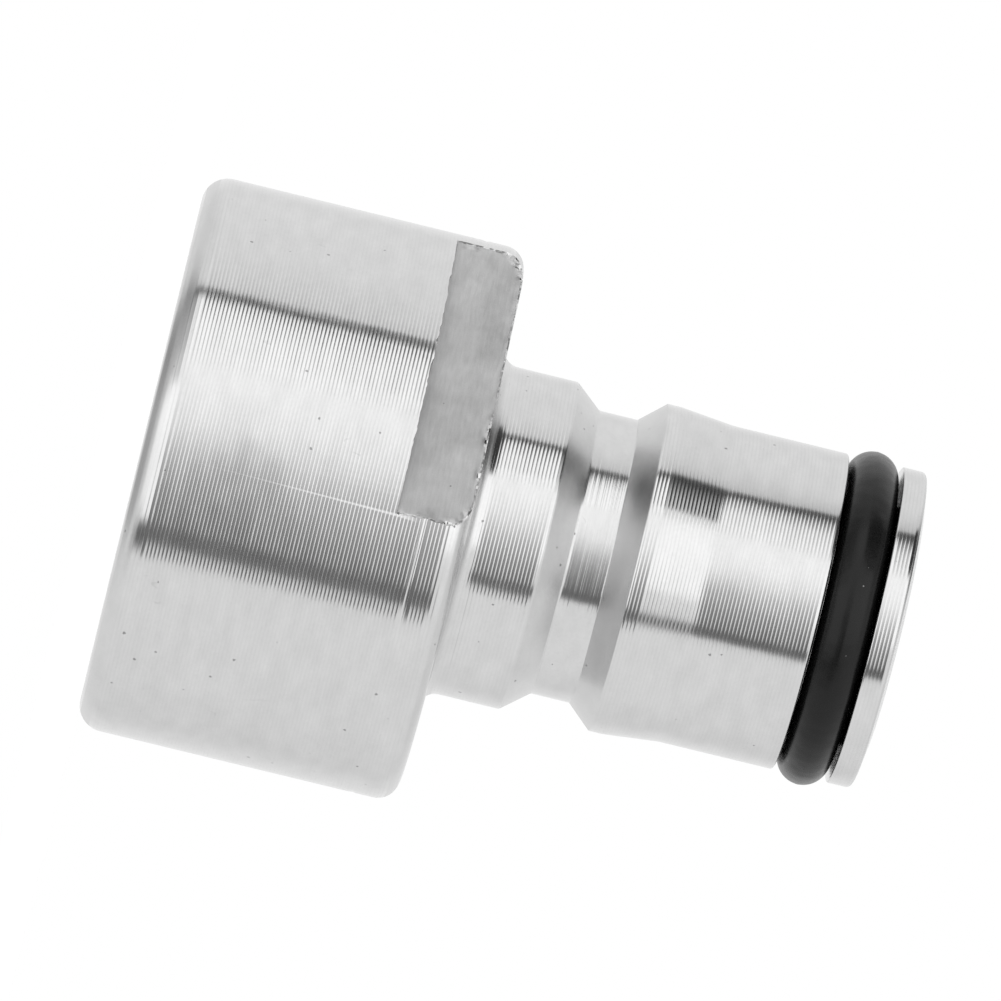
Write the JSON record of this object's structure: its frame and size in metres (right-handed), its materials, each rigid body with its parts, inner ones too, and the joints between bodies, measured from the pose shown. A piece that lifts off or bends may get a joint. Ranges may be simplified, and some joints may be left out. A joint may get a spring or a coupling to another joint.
{
  "type": "carbonation cap",
  "caption": "Turned steel bottle cap with wrench flats, a quick-disconnect post sealed by a rubber ring, a sprung poppet valve inside it and a hose barb under the roof.",
  "frame": {"origin": "centre of the rim's flat face, on the axis; the cap stands on this face", "axes": "+Z along the axis from the rim to the nose of the post; the two wrench flats face -Y and +Y"},
  "size_m": [0.03, 0.03, 0.0409],
  "materials": {
    "turned_steel": "fine turned, bright",
    "polished_steel": "smooth turned",
    "spring_steel": "drawn wire",
    "black_rubber": "smooth moulded",
    "silicone": "translucent white, matt"
  },
  "bodies": {
    "cap": {"cap_body": "turned_steel", "post_ring": "black_rubber", "hose_barb": "polished_steel", "bottle_seal": "silicone", "poppet_spring": "spring_steel"},
    "poppet": {"poppet_pin": "polished_steel", "poppet_seal": "black_rubber"}
  },
  "joints": [
    {"name": "poppet_slide", "type": "slide", "parent": "cap", "child": "poppet", "axis": [0, 0, -1], "range_m": [0, 0.003], "stiffness_N_per_m": 600, "deforming": ["poppet_spring"]}
  ]
}
